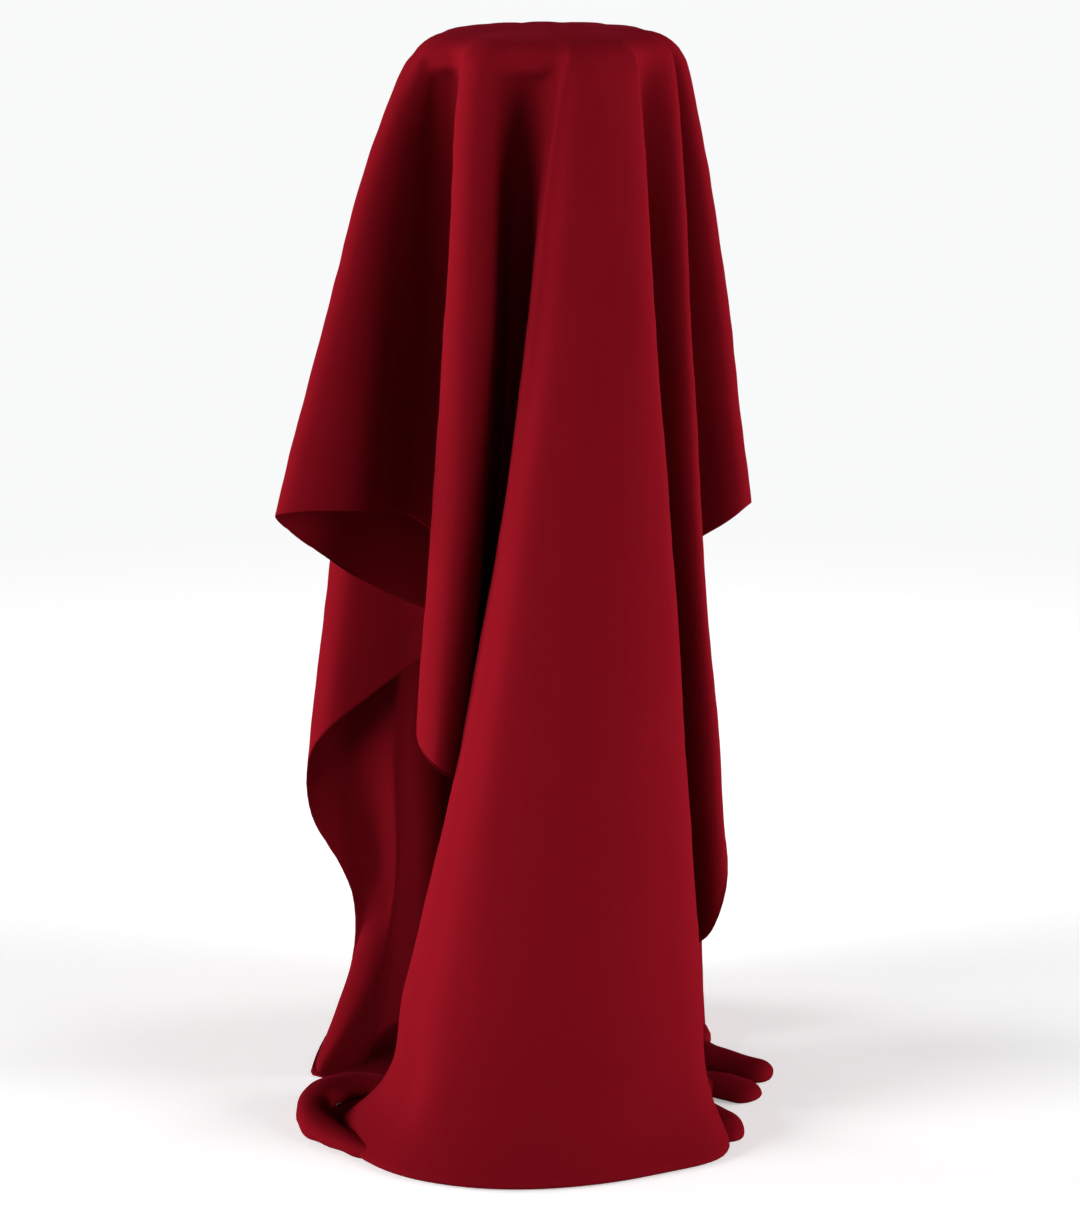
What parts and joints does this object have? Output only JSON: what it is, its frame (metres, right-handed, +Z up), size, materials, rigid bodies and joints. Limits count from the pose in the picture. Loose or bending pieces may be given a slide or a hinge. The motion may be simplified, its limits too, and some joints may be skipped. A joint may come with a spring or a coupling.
{
  "type": "draped fabric length on a display stand",
  "caption": "Length of crimson cloth draped over a round padded top on a telescopic display stand, hanging in deep folds to the floor.",
  "frame": {"origin": "on the pole's axis, at the floor face of the base pad", "axes": "+Z up along the pole, -Y towards the front of the drape, +X to the right seen from the front"},
  "size_m": [0.6592, 0.7569, 1.408],
  "materials": {
    "crimson_fabric": "matte, fine weave, soft sheen",
    "black_steel": "satin black powder coat",
    "zinc": "bright zinc",
    "mast_steel": "polished",
    "foot_rubber": "matte, fine ribs",
    "board_wood": "sanded birch plywood",
    "pad_foam": "matte felted foam",
    "cover_calico": "plain calico",
    "bush_acetal": "natural acetal",
    "collar_plastic": "fine texture",
    "shoe_brass": "turned"
  },
  "bodies": {
    "stand": {"base_pad": "foot_rubber", "base_plate": "black_steel", "base_flange": "black_steel", "base_flange_screws": "zinc", "base_socket_screw": "zinc", "lower_tube": "black_steel", "lock_collar": "collar_plastic", "collar_screw": "zinc", "guide_bush": "bush_acetal", "fabric_drape": "crimson_fabric"},
    "mast": {"upper_tube": "mast_steel", "tube_end_guide": "bush_acetal", "top_flange": "black_steel", "top_flange_screws": "zinc", "top_socket_screw": "zinc", "top_board": "board_wood", "top_pad": "pad_foam", "pad_cover": "cover_calico"},
    "shoe": {"lock_shoe": "shoe_brass"},
    "knob": {"lock_stud": "zinc", "lock_knob": "collar_plastic"}
  },
  "joints": [
    {"name": "height_slide", "type": "slide", "parent": "stand", "child": "mast", "axis": [0, 0, 1], "range_m": [-0.4, 0], "deforming": ["fabric_drape"]},
    {"name": "shoe_travel", "type": "slide", "parent": "stand", "child": "shoe", "axis": [0, 1, 0], "range_m": [0, 0.0013]},
    {"name": "knob_turn", "type": "hinge", "parent": "shoe", "child": "knob", "pos_m": [0, 0.05, 0.799], "axis": [0, 1, 0], "range_deg": [0, 360]}
  ],
  "couplings": [
    {"joint": "shoe_travel", "follows": "knob_turn", "m_per_rad": 0.00019894}
  ]
}
